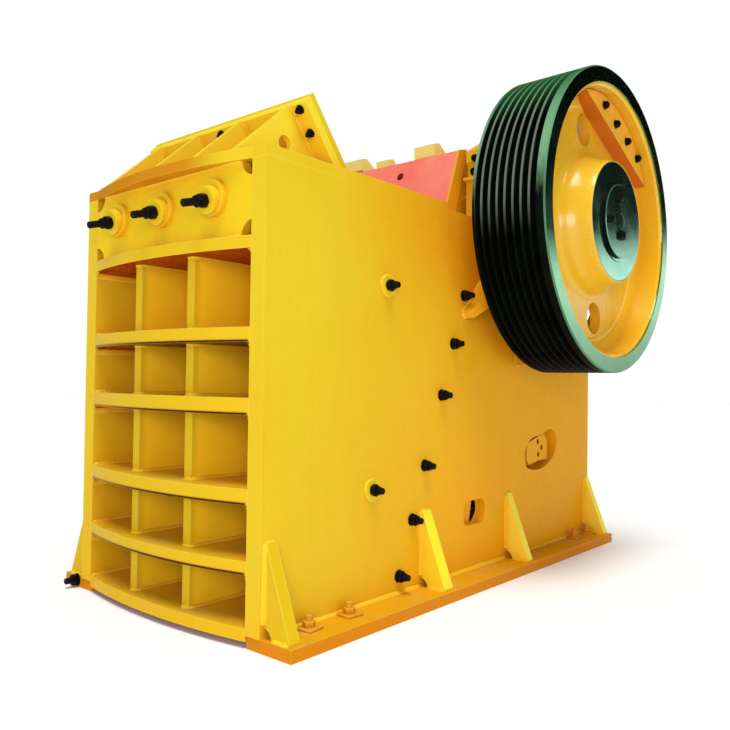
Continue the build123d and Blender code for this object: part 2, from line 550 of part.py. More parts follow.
# ---------------------------------------------------------------------------
# sheave (grooved) and flywheel (plain): rim, hub with web and lip, hub cover,
# counterweight. Profiles are radius and distance from the middle of the machine.
# ---------------------------------------------------------------------------
for wheel, s, y_a in (("sheave", -1, Y_WHEEL_A), ("flywheel", 1, Y_FLY_A)):
    rim_pts = [(R_WHEEL_IN, y_a), (R_WHEEL, y_a)]
    if wheel == "sheave":
        for i in range(N_GROOVE):
            y = y_a + 16 + i * GROOVE_PITCH
            rim_pts += [(R_WHEEL, y), (R_WHEEL - GROOVE_DEPTH, y + 10), (R_WHEEL - GROOVE_DEPTH, y + 26), (R_WHEEL, y + 36)]
    rim_pts += [(R_WHEEL, Y_WHEEL_B - 8), (R_WHEEL - 8, Y_WHEEL_B), (R_WHEEL_IN, Y_WHEEL_B)]
    with BuildPart() as rim:
        with BuildSketch(Plane(origin=(XS, 0, ZS), x_dir=(1, 0, 0), z_dir=(0, 0, 1))):
            with BuildLine():
                Polyline(*[(p[0], s * p[1]) for p in rim_pts], close=True)
            make_face()
        revolve(axis=Axis((XS, 0, ZS), (0, 1, 0)), revolution_arc=360)
    rim.part.label = wheel + "_rim"
    export_step(rim.part, "parts/" + wheel + "_rim.step")

    hub_in = [
        (R_SEAT + 0.5, y_a), (300, y_a), (330, y_a + 20), (355, WEB_A), (R_LIP - 76, WEB_A),
    ]
    if WEB_A - y_a > 60:
        hub_in += [(R_LIP - 20, y_a + 12)]
    hub_out = [
        (R_WHEEL_IN, y_a + 12), (R_WHEEL_IN, Y_WHEEL_B - 10), (R_LIP + 10, Y_WHEEL_B - 10), (R_LIP, Y_WHEEL_B - 22), (R_LIP, Y_LEDGE),
        (R_LIP - 12, Y_LEDGE - 4), (R_LIP - 82, WEB_B + 6), (R_LIP - 110, WEB_B), (462, WEB_B),
    ]
    hub_curve = [(462, WEB_B), (428, 1213), (411, 1234), (403, 1258), (392, 1280), (379, 1308), (369, 1342), (362, 1372), (R_HUB_END + 4, Y_HUB_END)]
    hub_end = [(R_HUB_END + 4, Y_HUB_END), (R_HUB_END, Y_HUB_END), (R_HUB_END, Y_HUB_END - 38), (R_SEAT + 0.5, Y_HUB_END - 38), hub_in[0]]
    with BuildPart() as web:
        with BuildSketch(Plane(origin=(XS, 0, ZS), x_dir=(1, 0, 0), z_dir=(0, 0, 1))):
            with BuildLine():
                h1 = Polyline(*[(p[0], s * p[1]) for p in hub_in + hub_out])
                h2 = Spline(*[(p[0], s * p[1]) for p in hub_curve], tangents=[(-1, 0), (-0.30, s * 1.0)])
                h3 = Polyline(*[(p[0], s * p[1]) for p in hub_end])
            make_face()
        revolve(axis=Axis((XS, 0, ZS), (0, 1, 0)), revolution_arc=360)
        with BuildSketch(Plane(origin=(XS, s * (WEB_A - 30), ZS), x_dir=(1, 0, 0), z_dir=(0, -1, 0))):
            with Locations(*WEB_HOLES):
                Circle(R_WEB_HOLE)
        extrude(amount=-s * 140, mode=Mode.SUBTRACT)
    web.part.label = wheel + "_web"
    export_step(web.part, "parts/" + wheel + "_web.step")

    cover_pts = [
        (0, Y_HUB_END - 37), (R_HUB_END - 1, Y_HUB_END - 37), (R_HUB_END - 1, Y_HUB_END - 4), (R_HUB_END - 5, Y_HUB_END), (R_DISC + 3, Y_HUB_END),
        (R_DISC, Y_HUB_END + 2), (R_DISC, Y_HUB_END + H_DISC - 4), (R_DISC - 5, Y_HUB_END + H_DISC), (0, Y_HUB_END + H_DISC),
    ]
    with BuildPart() as hub_cover:
        with BuildSketch(Plane(origin=(XS, 0, ZS), x_dir=(1, 0, 0), z_dir=(0, 0, 1))):
            with BuildLine():
                Polyline(*[(p[0], s * p[1]) for p in cover_pts], close=True)
            make_face()
        revolve(axis=Axis((XS, 0, ZS), (0, 1, 0)), revolution_arc=360)
    hub_cover.part.label = wheel + "_hub_cover"
    export_step(hub_cover.part, "parts/" + wheel + "_hub_cover.step")

    # counterweight: solid segment inside the lip, seated on the web and its ledge
    cw_pts = [(590, WEB_B + 0.5), (R_LIP - 110, WEB_B + 0.5), (R_LIP - 82, WEB_B + 6.5), (R_LIP - 12, Y_LEDGE - 3), (R_LIP - 4, Y_LEDGE + 1), (R_LIP - 4, CW_B), (590, CW_B)]
    with BuildPart() as counterweight:
        with BuildSketch(Plane(origin=(XS, 0, ZS), x_dir=(1, 0, 0), z_dir=(0, 0, 1))):
            with BuildLine():
                Polyline(*[(p[0], s * p[1]) for p in cw_pts], close=True)
            make_face()
        revolve(axis=Axis((XS, 0, ZS), (0, 1, 0)), revolution_arc=360)
        with BuildSketch(Plane(origin=(XS, s * (WEB_B - 10), ZS), x_dir=(math.cos(CW_ANG), 0, math.sin(CW_ANG)), z_dir=(0, -1, 0))):
            with Locations((CW_CHORD + 200, 0)):
                Rectangle(400, 1600)
        extrude(amount=-s * 160, mode=Mode.INTERSECT)
    counterweight.part.label = wheel + "_counterweight"
    export_step(counterweight.part, "parts/" + wheel + "_counterweight.step")
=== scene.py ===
import bpy, bmesh, math, random
from mathutils import Matrix, Vector


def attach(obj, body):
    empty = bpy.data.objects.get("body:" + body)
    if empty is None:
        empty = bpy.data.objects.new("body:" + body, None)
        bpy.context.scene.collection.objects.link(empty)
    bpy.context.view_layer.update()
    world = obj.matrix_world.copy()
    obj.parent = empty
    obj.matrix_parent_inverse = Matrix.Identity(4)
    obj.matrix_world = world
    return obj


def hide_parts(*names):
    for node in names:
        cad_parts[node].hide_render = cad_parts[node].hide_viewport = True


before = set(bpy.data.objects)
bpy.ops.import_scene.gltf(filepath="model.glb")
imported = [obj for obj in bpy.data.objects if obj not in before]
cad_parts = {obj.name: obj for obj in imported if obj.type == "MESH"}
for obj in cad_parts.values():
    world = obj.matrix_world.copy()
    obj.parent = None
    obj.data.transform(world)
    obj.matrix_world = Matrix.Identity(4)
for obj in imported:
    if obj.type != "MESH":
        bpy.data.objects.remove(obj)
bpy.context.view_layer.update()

# ---------------------------------------------------------------------------
# camera: fitted to the photograph's viewing angle
# ---------------------------------------------------------------------------
YAW, PITCH, ROLL = math.radians(40.589), math.radians(1.125), math.radians(0.757)
fwd = Vector((math.cos(YAW) * math.cos(PITCH), math.sin(YAW) * math.cos(PITCH), math.sin(PITCH)))
right0 = Vector((math.sin(YAW), -math.cos(YAW), 0.0))
up0 = right0.cross(fwd)
right = math.cos(ROLL) * right0 + math.sin(ROLL) * up0
up = -math.sin(ROLL) * right0 + math.cos(ROLL) * up0
cam_data = bpy.data.cameras.new("camera")
cam_data.sensor_width = 36.0
cam_data.lens = 37.05
cam_data.clip_end = 200.0
cam = bpy.data.objects.new("camera", cam_data)
bpy.context.scene.collection.objects.link(cam)
cam.matrix_world = Matrix(((right.x, up.x, -fwd.x, -3.8549), (right.y, up.y, -fwd.y, -3.1503), (right.z, up.z, -fwd.z, 1.1723), (0, 0, 0, 1)))
bpy.context.scene.camera = cam
bpy.context.scene.view_settings.view_transform = "Standard"
bpy.context.scene.view_settings.look = "None"


XF = -1.7                  # front edge of the side plates
XS, ZS = 0.477, 2.127      # shaft line

# ---------------------------------------------------------------------------
# small node helper
# ---------------------------------------------------------------------------
class Shader:
    def __init__(self, name):
        self.m = bpy.data.materials.new(name)
        self.m.use_nodes = True
        self.t = self.m.node_tree
        self.b = self.t.nodes["Principled BSDF"]
        self.tc = self.t.nodes.new("ShaderNodeTexCoord")
        self.pos = self.tc.outputs["Object"]

    def put(self, socket, value):
        if isinstance(value, bpy.types.NodeSocket):
            self.t.links.new(value, socket)
        elif value is not None:
            socket.default_value = value

    def set(self, **kw):
        for k, v in kw.items():
            self.put(self.b.inputs[k.replace("_", " ")], v)

    def noise(self, scale, detail=3.0, rough=0.55, vec=None, dist=0.0):
        n = self.t.nodes.new("ShaderNodeTexNoise")
        n.inputs["Scale"].default_value = scale
        n.inputs["Detail"].default_value = detail
        n.inputs["Roughness"].default_value = rough
        n.inputs["Distortion"].default_value = dist
        self.t.links.new(vec if vec is not None else self.pos, n.inputs["Vector"])
        return n.outputs["Fac"]

    def stretch(self, scale):
        n = self.t.nodes.new("ShaderNodeMapping")
        n.inputs["Scale"].default_value = scale
        self.t.links.new(self.pos, n.inputs["Vector"])
        return n.outputs["Vector"]

    def ramp(self, fac, lo, hi, a=0.0, b=1.0):
        n = self.t.nodes.new("ShaderNodeMapRange")
        n.interpolation_type = "SMOOTHSTEP"
        n.clamp = True
        self.t.links.new(fac, n.inputs["Value"])
        n.inputs["From Min"].default_value = lo
        n.inputs["From Max"].default_value = hi
        n.inputs["To Min"].default_value = a
        n.inputs["To Max"].default_value = b
        return n.outputs["Result"]

    def math(self, op, a, b=None, clamp=False):
        n = self.t.nodes.new("ShaderNodeMath")
        n.operation = op
        n.use_clamp = clamp
        self.put(n.inputs[0], a)
        self.put(n.inputs[1], b)
        return n.outputs[0]

    def mix(self, fac, a, b, kind="MIX"):
        n = self.t.nodes.new("ShaderNodeMix")
        n.data_type = "RGBA"
        n.blend_type = kind
        n.clamp_factor = True
        self.put(n.inputs[0], fac)
        self.put(n.inputs[6], a if isinstance(a, bpy.types.NodeSocket) else (*a, 1.0))
        self.put(n.inputs[7], b if isinstance(b, bpy.types.NodeSocket) else (*b, 1.0))
        return n.outputs[2]

    def xyz(self, vec=None):
        n = self.t.nodes.new("ShaderNodeSeparateXYZ")
        self.t.links.new(vec if vec is not None else self.pos, n.inputs[0])
        return n.outputs

    def normal(self):
        return self.xyz(self.tc.outputs["Normal"])

    def occlusion(self, distance, samples=6):
        n = self.t.nodes.new("ShaderNodeAmbientOcclusion")
        n.samples = samples
        n.inputs["Distance"].default_value = distance
        return n.outputs["AO"]

    def edges(self, radius, lo=0.02, hi=0.25):
        bv = self.t.nodes.new("ShaderNodeBevel")
        bv.samples = 4
        bv.inputs["Radius"].default_value = radius
        g = self.t.nodes.new("ShaderNodeNewGeometry")
        d = self.t.nodes.new("ShaderNodeVectorMath")
        d.operation = "DOT_PRODUCT"
        self.t.links.new(bv.outputs["Normal"], d.inputs[0])
        self.t.links.new(g.outputs["True Normal"], d.inputs[1])
        return self.ramp(self.math("SUBTRACT", 1.0, d.outputs["Value"]), lo, hi)

    def radius(self, cx, cz):
        """Distance from the shaft line."""
        x, y, z = self.xyz()
        dx, dz = self.math("SUBTRACT", x, cx), self.math("SUBTRACT", z, cz)
        return self.math("SQRT", self.math("ADD", self.math("MULTIPLY", dx, dx), self.math("MULTIPLY", dz, dz))), dx, dz

    def bump(self, *layers):
        """layers: (height socket, strength, distance in metres), from coarse to fine."""
        last = None
        for h, s, dist in layers:
            n = self.t.nodes.new("ShaderNodeBump")
            n.inputs["Strength"].default_value = s
            n.inputs["Distance"].default_value = dist
            self.t.links.new(h, n.inputs["Height"])
            if last is not None:
                self.t.links.new(last, n.inputs["Normal"])
            last = n.outputs["Normal"]
        self.t.links.new(last, self.b.inputs["Normal"])


def yellow(name, cast=False, tint=None, amount=0.55, dirt=1.0, inside=None, side=None, under=None, rub=0.40, along=(), fade=None, recess_shade=0.30, lips=()):
    """Enamel over steel plate: clouds of lighter and warmer yellow, vertical streaks that are partly brush marks and
    partly painted reflection, orange peel, painted shade with some grime in the corners, painted shade under and along
    the shelves, rubbed edges with a painted highlight, dust on ledges.
    """
    s = Shader(name)
    x, y, z = s.xyz()
    cloud = s.noise(0.9, 3.0, 0.6)
    mottle = s.noise(7.0, 5.0, 0.6)
    streak = s.noise(1.0, 4.0, 0.65, s.stretch((26.0, 26.0, 1.6)))
    peel = s.noise(170.0, 2.0, 0.5)
    c = s.mix(s.ramp(cloud, 0.32, 0.68), (0.672, 0.535, 0.024), (0.682, 0.470, 0.015))
    # warmer to the rear and low down
    rear = s.ramp(x, -1.7, 0.3)
    low = s.ramp(z, 1.9, 0.1)
    warm = s.math("ADD", s.math("MULTIPLY", rear, 0.80), s.math("MULTIPLY", low, 0.18), clamp=True)
    c = s.mix(warm, c, (0.83, 0.368, 0.008))
    # and again high up beside the wheel
    c = s.mix(s.math("MULTIPLY", s.ramp(z, 1.45, 1.95), s.ramp(x, -1.3, -0.3, 0.0, 0.45)), c, (0.85, 0.29, 0.005))
    c = s.mix(s.ramp(mottle, 0.35, 0.75, 0.0, 0.20), c, (0.80, 0.53, 0.02))
    # vertical streaks of darker orange: partly brush marks, partly painted reflection streaks
    c = s.mix(s.ramp(streak, 0.42, 0.75, 0.0, 0.26), c, (0.76, 0.36, 0.006))
    if tint is not None:
        # tint changing along x; on the gussets this is painted light, lighter tints where they stand in shade
        for x0, x1, other in along:
            tint = s.mix(s.ramp(x, x0, x1), tint, other)
        if fade is not None:
            amount = s.ramp(y, fade[0], fade[1], 0.0, amount)
        c = s.mix(amount, c, tint)
    if inside is not None:
        # painted light: a brighter colour inside the cells stands in for light there, while the front edges keep the
        # darker tint where more light falls on them
        c = s.mix(s.ramp(x, XF + 0.010, XF + 0.060), c, inside)
    # painted shade in the corners: colour shifted to orange in wide recesses and darkened in tight corners, there
    # partly grime; the dirt factor scales the dark part as well as the dust
    near = s.occlusion(0.10)
    wide = s.occlusion(0.55)
    c = s.mix(s.ramp(wide, 0.95, 0.30, 0.0, recess_shade), c, (0.92, 0.36, 0.004))
    c = s.mix(s.math("MULTIPLY", s.ramp(near, 0.75, 0.25, 0.0, 0.45 * dirt), s.ramp(mottle, 0.30, 0.62, 0.45, 1.0)), c, (0.42, 0.12, 0.006))
    # faces that don't look up take the side colour where one is given
    nx, ny, nz = s.normal()
    if side is not None:
        c = s.mix(s.ramp(nz, 0.6, 0.2, 0.0, 0.9), c, side)
    if under is not None:
        # painted shade under the shelves: dark red-brown on faces that look down, with a little mottle
        c = s.mix(s.math("MULTIPLY", s.ramp(nz, -0.5, -0.9), s.ramp(mottle, 0.2, 0.7, 0.92, 0.99)), c, under)
    if lips:
        # painted shade: a dark line along the lower front edge of each shelf, stronger towards the near side
        across = s.math("MULTIPLY", s.ramp(s.math("ABSOLUTE", y), 0.638, 0.626), s.ramp(y, 0.60, -0.10, 0.55, 1.0))
        for level in lips:
            off = s.math("ABSOLUTE", s.math("SUBTRACT", z, level))
            c = s.mix(s.math("MULTIPLY", s.ramp(off, 0.018, 0.010, 0.0, 0.75), across), c, (0.50, 0.130, 0.004))
            c = s.mix(s.math("MULTIPLY", s.ramp(off, 0.0115, 0.0085, 0.0, 0.97), across), c, (0.035, 0.007, 0.002))
    # dust and spill on faces that look up
    dust = s.math("MULTIPLY", s.ramp(nz, 0.75, 0.98), s.ramp(s.noise(5.0, 6.0, 0.65), 0.45, 0.72, 0.0, 0.36 * dirt))
    c = s.mix(dust, c, (0.62, 0.40, 0.14))
    # rubbed edges with a painted highlight along them, and small chips
    e = s.edges(0.007)
    c = s.mix(s.math("MULTIPLY", e, rub), c, (0.92, 0.72, 0.12))
    chips = s.math("MULTIPLY", e, s.ramp(s.noise(38.0, 4.0, 0.7), 0.66, 0.72))
    c = s.mix(s.math("MULTIPLY", chips, 0.7), c, (0.20, 0.08, 0.02))
    rough = s.math("ADD", s.ramp(mottle, 0.3, 0.7, 0.24, 0.40), s.math("MULTIPLY", dust, 0.6))
    s.set(Base_Color=c, Roughness=rough, Specular_IOR_Level=0.035)
    if cast:
        s.bump((s.noise(9.0, 5.0, 0.55), 0.35, 0.006), (s.noise(75.0, 3.0, 0.6), 0.30, 0.0012), (peel, 0.15, 0.0004))
    else:
        s.bump((s.noise(1.7, 2.0, 0.5), 0.22, 0.006), (streak, 0.18, 0.0010), (s.noise(28.0, 3.0, 0.6), 0.16, 0.0007), (peel, 0.16, 0.0004))
    return s.m


def web_paint():
    """Cast wheel centre in orange enamel, with runs and a glossy top coat."""
    s = Shader("wheel_orange")
    mottle = s.noise(5.0, 5.0, 0.6)
    r, dx, dz = s.radius(XS, ZS)
    c = s.mix(s.ramp(s.noise(1.6, 3.0, 0.6), 0.3, 0.7), (0.79, 0.495, 0.022), (0.77, 0.425, 0.014))
    c = s.mix(s.ramp(mottle, 0.35, 0.75, 0.0, 0.30), c, (0.84, 0.50, 0.03))
    # the hub is a lighter coat than the web
    c = s.mix(s.ramp(r, 0.52, 0.40, 0.0, 0.55), c, (0.80, 0.54, 0.03))
    # painted shade: darker orange in the recesses of the wheel
    wide = s.occlusion(0.30)
    c = s.mix(s.ramp(wide, 0.9, 0.3, 0.0, 0.5), c, (0.62, 0.16, 0.004))
    # painted highlight: a bright line where the ledge meets the web
    line = s.math("MULTIPLY", s.ramp(r, 0.692, 0.697), s.ramp(r, 0.710, 0.704))
    c = s.mix(s.math("MULTIPLY", line, 0.60), c, (0.95, 0.68, 0.22))
    e = s.edges(0.008)
    c = s.mix(s.math("MULTIPLY", e, 0.45), c, (0.96, 0.66, 0.12))
    s.set(Base_Color=c, Roughness=s.ramp(mottle, 0.3, 0.7, 0.20, 0.36), Specular_IOR_Level=0.30, Coat_Weight=0.20, Coat_Roughness=0.10)
    s.bump((s.noise(6.0, 4.0, 0.55), 0.30, 0.006), (s.noise(60.0, 3.0, 0.6), 0.20, 0.0010), (s.noise(200.0, 2.0, 0.5), 0.12, 0.0004))
    return s.m


def wheel_weight():
    """Counterweight: bright outer face, with painted shade on the darker chord and edge faces."""
    s = Shader("wheel_weight")
    nx, ny, nz = s.normal()
    mottle = s.noise(7.0, 5.0, 0.6)
    # painted shade: faces that don't look along the shaft keep a darker orange, the outer face is bright
    face = s.ramp(s.math("ABSOLUTE", ny), 0.5, 0.9)
    c = s.mix(s.ramp(mottle, 0.3, 0.7), (0.62, 0.170, 0.012), (0.54, 0.125, 0.008))
    c = s.mix(face, c, s.mix(s.ramp(s.noise(2.0, 4.0, 0.6), 0.3, 0.7), (0.88, 0.46, 0.035), (0.84, 0.39, 0.020)))
    # painted shade in the corners
    c = s.mix(s.ramp(s.occlusion(0.06), 0.8, 0.3, 0.0, 0.5), c, (0.50, 0.12, 0.006))
    c = s.mix(s.math("MULTIPLY", s.edges(0.006), 0.5), c, (0.96, 0.62, 0.14))
    s.set(Base_Color=c, Roughness=s.ramp(mottle, 0.3, 0.7, 0.26, 0.42), Specular_IOR_Level=0.2, Coat_Weight=0.08, Coat_Roughness=0.12)
    s.bump((s.noise(8.0, 4.0, 0.55), 0.22, 0.003), (s.noise(80.0, 3.0, 0.6), 0.20, 0.0008))
    return s.m


def green_paint(name, rim):
    """Thick green enamel with a hard gloss: teal on the machined faces, nearly black on the tread, with a painted
    highlight on the lips between the grooves and painted reflection in green on the upper lands.
    """
    s = Shader(name)
    x, y, z = s.xyz()
    nx, ny, nz = s.normal()
    r, dx, dz = s.radius(XS, ZS)
    flat = s.ramp(s.math("ABSOLUTE", ny), 0.55, 0.90)
    mottle = s.noise(6.0, 5.0, 0.6)
    brush = s.noise(1.0, 4.0, 0.6, s.stretch((14.0, 60.0, 14.0)))
    deep = s.mix(s.ramp(mottle, 0.3, 0.7), (0.0005, 0.0012, 0.0008), (0.0020, 0.0045, 0.0030))
    if rim:
        teal = s.mix(s.ramp(s.noise(2.2, 4.0, 0.6), 0.3, 0.7), (0.155, 0.410, 0.215), (0.215, 0.500, 0.280))
        # end faces only; the sides of the grooves stay black
        out = s.ramp(s.math("ABSOLUTE", y), 1.360, 1.372)
        face = s.math("MAXIMUM", s.math("MULTIPLY", flat, out), s.ramp(r, 0.8075, 0.8065))
        # lands beside the grooves: painted reflection, green from mid-height up, black below
        land = s.math("MAXIMUM", s.ramp(s.math("ABSOLUTE", y), 1.329, 1.333), s.ramp(s.math("ABSOLUTE", y), 0.969, 0.965))
        up = s.ramp(s.math("ADD", dz, s.math("MULTIPLY", s.math("SUBTRACT", brush, 0.5), 0.16)), -0.02, 0.26)
        green = s.mix(s.ramp(dz, 0.35, 0.85), (0.160, 0.350, 0.190), (0.030, 0.125, 0.050))
        c = s.mix(s.math("MULTIPLY", land, up), deep, green)
        # painted highlight on the lips between the grooves, in the upper part only
        lip_highlight = s.math("MULTIPLY", s.ramp(r, 0.8915, 0.8945), s.math("SUBTRACT", 1.0, land))
        c = s.mix(s.math("MULTIPLY", lip_highlight, s.math("MULTIPLY", s.ramp(dz, -0.20, 0.08), 0.66)), c, s.mix(s.ramp(dz, 0.30, 0.75), (0.20, 0.23, 0.18), (0.22, 0.42, 0.21)))
        # painted reflection: a trace of green on top of the tread
        c = s.mix(s.math("MULTIPLY", s.ramp(dz, 0.45, 0.84, 0.0, 0.80), s.ramp(r, 0.858, 0.885)), c, (0.030, 0.17, 0.050))
        c = s.mix(face, c, teal)
    else:
        teal = s.mix(s.ramp(s.noise(2.2, 4.0, 0.6), 0.3, 0.7), (0.20, 0.52, 0.36), (0.28, 0.60, 0.43))
        face = flat
        c = s.mix(face, deep, teal)
    e = s.edges(0.005)
    # painted highlight along the edges of the end faces
    c = s.mix(s.math("MULTIPLY", s.math("MULTIPLY", e, face), 0.40), c, (0.42, 0.70, 0.55))
    chips = s.math("MULTIPLY", s.math("MULTIPLY", e, face), s.ramp(s.noise(45.0, 4.0, 0.7), 0.66, 0.72))
    c = s.mix(s.math("MULTIPLY", chips, 0.6), c, (0.26, 0.24, 0.20))
    s.set(Base_Color=c, Roughness=s.mix(face, (0.5, 0.5, 0.5), s.ramp(mottle, 0.3, 0.7, 0.08, 0.17)), Metallic=s.math("MULTIPLY", face, 0.99), Specular_IOR_Level=0.05,
          Coat_Weight=s.math("MULTIPLY", face, 0.12), Coat_Roughness=0.06)
    s.bump((s.noise(4.0, 3.0, 0.5), 0.16, 0.004), (s.noise(60.0, 3.0, 0.6), 0.08, 0.0006), (s.noise(190.0, 2.0, 0.5), 0.05, 0.0003))
    return s.m


def salmon_paint():
    """Primer-red liner plate, lightly scuffed by falling rock."""
    s = Shader("salmon_paint")
    mottle = s.noise(6.0, 6.0, 0.62)
    c = s.mix(s.ramp(s.noise(1.8, 3.0, 0.6), 0.3, 0.7), (0.99, 0.250, 0.180), (0.96, 0.175, 0.120))
    c = s.mix(s.ramp(mottle, 0.45, 0.80, 0.0, 0.5), c, (0.98, 0.34, 0.24))
    x, y, z = s.xyz()
    c = s.mix(s.ramp(y, -0.1, 0.55, 0.0, 0.40), c, (0.99, 0.32, 0.22))
    scuff = s.noise(1.0, 5.0, 0.7, s.stretch((18.0, 60.0, 4.0)))
    c = s.mix(s.ramp(scuff, 0.60, 0.74, 0.0, 0.45), c, (0.62, 0.10, 0.06))
    # painted shade in the corners
    c = s.mix(s.ramp(s.occlusion(0.12), 0.8, 0.3, 0.0, 0.6), c, (0.45, 0.05, 0.02))
    c = s.mix(s.math("MULTIPLY", s.edges(0.006), 0.5), c, (0.98, 0.50, 0.30))
    s.set(Base_Color=c, Roughness=s.ramp(mottle, 0.3, 0.7, 0.34, 0.52), Specular_IOR_Level=0.4)
    s.bump((s.noise(9.0, 4.0, 0.6), 0.30, 0.004), (scuff, 0.18, 0.0010), (s.noise(150.0, 2.0, 0.5), 0.16, 0.0004))
    return s.m


def black_steel(name="black_fasteners", lo=(0.0012, 0.0010, 0.0010), hi=(0.005, 0.004, 0.004)):
    """Dark fasteners with a faint rub on the corners."""
    s = Shader(name)
    g = s.noise(55.0, 5.0, 0.65)
    c = s.mix(s.ramp(g, 0.3, 0.7), lo, hi)
    c = s.mix(s.math("MULTIPLY", s.edges(0.0030), 0.30), c, (0.050, 0.043, 0.040))
    s.set(Base_Color=c, Roughness=s.ramp(g, 0.3, 0.7, 0.38, 0.58), Specular_IOR_Level=0.08)
    s.bump((s.noise(90.0, 4.0, 0.6), 0.25, 0.0006),)
    return s.m


def cast_liner(name, base):
    """Manganese steel casting: dark skin, bright polished where rock has run."""
    s = Shader(name)
    g = s.noise(12.0, 6.0, 0.65)
    run = s.noise(1.0, 5.0, 0.6, s.stretch((30.0, 30.0, 2.0)))
    c = s.mix(s.ramp(g, 0.3, 0.7), base, tuple(v * 0.55 for v in base))
    c = s.mix(s.ramp(s.noise(3.0, 5.0, 0.6), 0.50, 0.75, 0.0, 0.7), c, (0.16, 0.075, 0.03))
    c = s.mix(s.ramp(run, 0.55, 0.80, 0.0, 0.7), c, (0.42, 0.41, 0.39))
    c = s.mix(s.math("MULTIPLY", s.edges(0.010), 0.7), c, (0.50, 0.49, 0.47))
    s.set(Base_Color=c, Roughness=s.ramp(run, 0.4, 0.8, 0.62, 0.34), Metallic=0.75)
    s.bump((s.noise(14.0, 5.0, 0.65), 0.50, 0.005), (s.noise(90.0, 4.0, 0.65), 0.35, 0.0012),)
    return s.m


def machined(name, base, dirt):
    """Turned steel under a film of oil and dust."""
    s = Shader(name)
    turn = s.noise(1.0, 3.0, 0.6, s.stretch((3.0, 260.0, 3.0)))
    g = s.noise(9.0, 5.0, 0.6)
    c = s.mix(s.ramp(turn, 0.3, 0.7), base, tuple(v * 0.8 for v in base))
    c = s.mix(s.ramp(g, 0.45, 0.75, 0.0, 0.6), c, dirt)
    s.set(Base_Color=c, Roughness=s.ramp(g, 0.3, 0.7, 0.26, 0.48), Metallic=0.9)
    s.bump((turn, 0.20, 0.0003), (g, 0.10, 0.0010))
    return s.m


MAT = {
    "plate": yellow("yellow_plate"),
    "cast": yellow("yellow_cast", cast=True),
    "weld": yellow("yellow_weld", cast=True, tint=(0.84, 0.55, 0.03), dirt=0.6),
    # shelves: darker tint on the front faces where more light falls and a lighter one inside, painted light; painted
    # shade under the shelves and along their lower front edges
    "shelf": yellow("yellow_shelf", tint=(0.67, 0.43, 0.012), amount=0.8, inside=(0.96, 0.48, 0.010), under=(0.36, 0.030, 0.003), lips=(0.317, 0.619, 1.011, 1.331)),
    # top shelf: the same, with a near-black red painted shade underneath
    "shelftop": yellow("yellow_shelf_top", tint=(0.67, 0.43, 0.012), amount=0.8, inside=(0.90, 0.52, 0.012), under=(0.30, 0.004, 0.001)),
    # cells: a lighter copy of the paint, painted light inside the cells, with less painted shade in the wide recesses
    "cell": yellow("yellow_cell", tint=(0.70, 0.47, 0.012), amount=0.9, dirt=0.8, inside=(1.0, 0.620, 0.018), recess_shade=0.10),
    # panel: a lighter tint than the shelves, painted light for the shade under the top plate
    "panel": yellow("yellow_panel", tint=(0.79, 0.54, 0.014), amount=0.7),
    "topplate": yellow("yellow_top_plate", tint=(0.54, 0.175, 0.006), amount=0.85, fade=(-0.52, -0.22)),
    # gussets: lighter tints towards the rear, most under the wheel, are painted light for the shade there; rub is
    # raised for a brighter painted highlight on their edges
    "gusset": yellow("yellow_gusset", tint=(0.63, 0.437, 0.011), amount=0.95, rub=0.85, along=((-1.5, -0.8, (0.80, 0.74, 0.032)), (-0.3, 0.2, (0.95, 0.80, 0.070)))),
    "disc": yellow("yellow_disc", tint=(0.76, 0.56, 0.020), amount=0.9, rub=0.6),
    "guard": yellow("yellow_guard", tint=(0.84, 0.68, 0.036), amount=0.8, rub=0.55),
    # blocks: very pale yellow, painted light standing in for the bright light on them
    "pale": yellow("yellow_pale_painted_light", cast=True, tint=(1.0, 0.90, 0.28), amount=0.9),
    "feet": yellow("yellow_feet", tint=(0.58, 0.29, 0.007), amount=0.8, dirt=1.3, side=(0.61, 0.205, 0.005)),
    "cap": yellow("yellow_cap", cast=True, tint=(0.90, 0.58, 0.040), amount=0.60),
    "web": web_paint(),
    "rim": green_paint("green_rim", True),
    "cover": green_paint("green_cover", False),
    "salmon": salmon_paint(),
    "black": black_steel(),
    "redbolt": black_steel("dark_red_bolt", (0.120, 0.006, 0.008), (0.220, 0.016, 0.018)),
    "liner": cast_liner("manganese_liner", (0.20, 0.19, 0.18)),
    "cheek": cast_liner("cheek_plate", (0.16, 0.15, 0.14)),
    "stain": yellow("yellow_stained", tint=(0.50, 0.15, 0.010), amount=0.60, dirt=1.8),
    "weight": wheel_weight(),
    "shaft": machined("turned_steel", (0.50, 0.50, 0.49), (0.16, 0.11, 0.07)),
    "spring": machined("spring_steel", (0.05, 0.05, 0.05), (0.10, 0.06, 0.03)),
}

# ---------------------------------------------------------------------------
# floor and light
# ---------------------------------------------------------------------------
fl = Shader("floor")
fg = fl.noise(3.0, 4.0, 0.6)
fl.set(Base_Color=fl.mix(fl.ramp(fg, 0.3, 0.7), (0.96, 0.96, 0.96), (0.945, 0.945, 0.945)), Roughness=0.75, Specular_IOR_Level=0.1)
me = bpy.data.meshes.new("floor")
bm = bmesh.new()
bmesh.ops.create_grid(bm, x_segments=1, y_segments=1, size=60)
bm.to_mesh(me)
bm.free()
floor = bpy.data.objects.new("floor", me)
bpy.context.scene.collection.objects.link(floor)
me.materials.append(fl.m)

